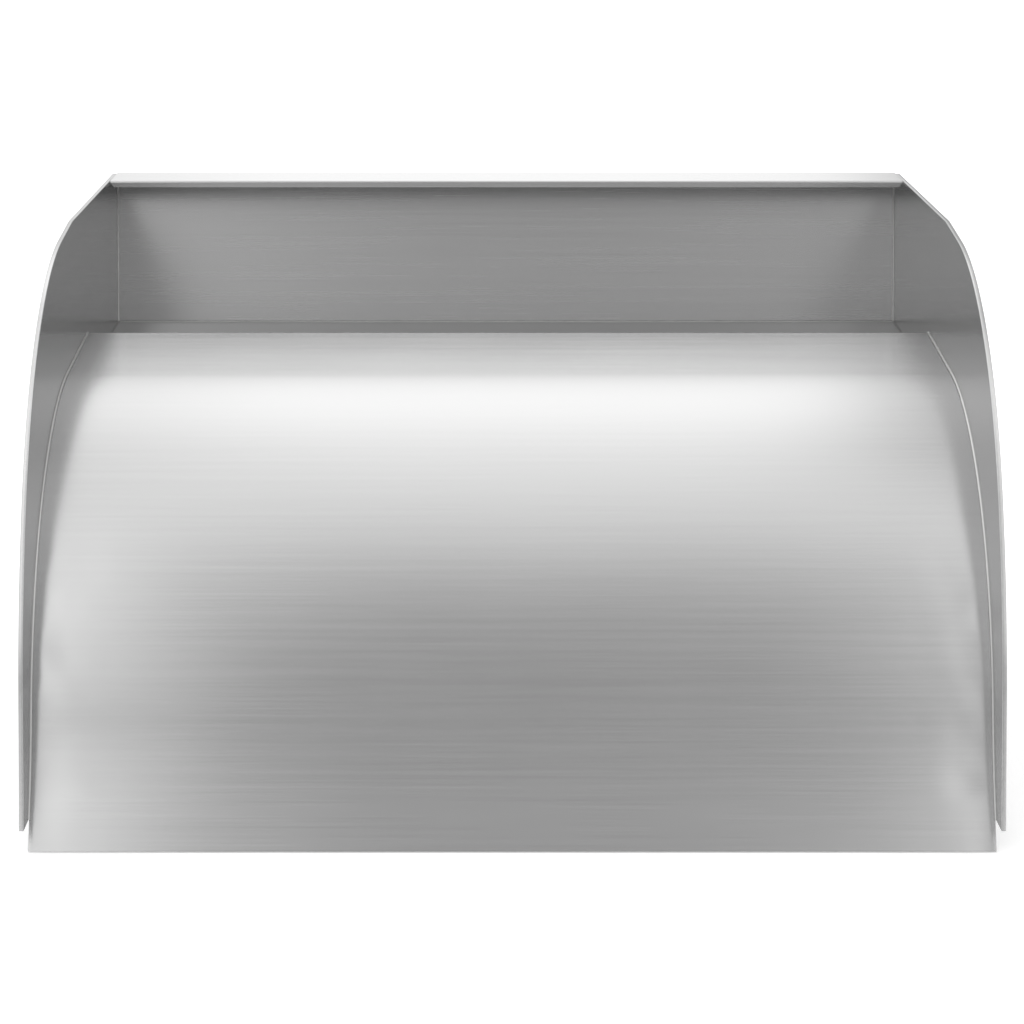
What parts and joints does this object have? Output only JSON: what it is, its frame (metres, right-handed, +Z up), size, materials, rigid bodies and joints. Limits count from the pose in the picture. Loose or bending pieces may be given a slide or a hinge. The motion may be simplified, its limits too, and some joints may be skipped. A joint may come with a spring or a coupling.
{
  "type": "wave slide",
  "caption": "Wide, low stainless-steel wave slide: a bed sheet rolls over a raised crest between cheek plates, with a sunk standing strip, a leaning rear wall and a frame on base plates.",
  "frame": {"origin": "on the ground, under the middle of the slide's width and depth", "axes": "+X to the right seen from the front, +Y to the back where the rear wall stands, +Z up"},
  "size_m": [1, 0.956, 0.5784],
  "materials": {
    "cheek_steel": "brushed stainless steel plate, grain front to back, edges ground",
    "bed_steel": "finely brushed stainless steel sheet, grain across the slide, half gloss",
    "panel_steel": "brushed stainless steel sheet, upright grain",
    "frame_steel": "mill-finish stainless plate and tube, duller than the sheets",
    "weld": "weld bead ground and polished",
    "fastener": "turned stainless steel"
  },
  "bodies": {
    "root": {"base_plate_front_left": "frame_steel", "base_plate_front_right": "frame_steel", "base_plate_rear_left": "frame_steel", "base_plate_rear_right": "frame_steel", "bed_rib_left": "frame_steel", "bed_rib_middle": "frame_steel", "bed_rib_right": "frame_steel", "cheek_left": "cheek_steel", "cheek_right": "cheek_steel", "cross_tube_front": "frame_steel", "cross_tube_middle": "frame_steel", "cross_tube_rear": "frame_steel", "edge_bar": "frame_steel", "leg_front_left": "frame_steel", "leg_front_right": "frame_steel", "leg_rear_left": "frame_steel", "leg_rear_right": "frame_steel", "rear_wall": "panel_steel", "saddle_bolt_front_left": "fastener", "saddle_bolt_front_right": "fastener", "saddle_bolt_rear_left": "fastener", "saddle_bolt_rear_right": "fastener", "saddle_front_left": "frame_steel", "saddle_front_right": "frame_steel", "saddle_nut_front_left": "fastener", "saddle_nut_front_right": "fastener", "saddle_nut_rear_left": "fastener", "saddle_nut_rear_right": "fastener", "saddle_rear_left": "frame_steel", "saddle_rear_right": "frame_steel", "slide_bed": "bed_steel", "standing_floor": "panel_steel", "tube_pad_front_left": "frame_steel", "tube_pad_front_right": "frame_steel", "tube_pad_middle_left": "frame_steel", "tube_pad_middle_right": "frame_steel", "tube_pad_rear_left": "frame_steel", "tube_pad_rear_right": "frame_steel", "wall_gusset_left": "frame_steel", "wall_gusset_middle": "frame_steel", "wall_gusset_right": "frame_steel", "washer_back_front_left": "fastener", "washer_back_front_right": "fastener", "washer_back_rear_left": "fastener", "washer_back_rear_right": "fastener", "washer_front_front_left": "fastener", "washer_front_front_right": "fastener", "washer_front_rear_left": "fastener", "washer_front_rear_right": "fastener", "weld_bed_left": "weld", "weld_bed_right": "weld", "weld_crest": "weld", "weld_floor_left": "weld", "weld_floor_right": "weld", "weld_wall_foot": "weld", "weld_wall_left": "weld", "weld_wall_right": "weld"}
  },
  "joints": []
}
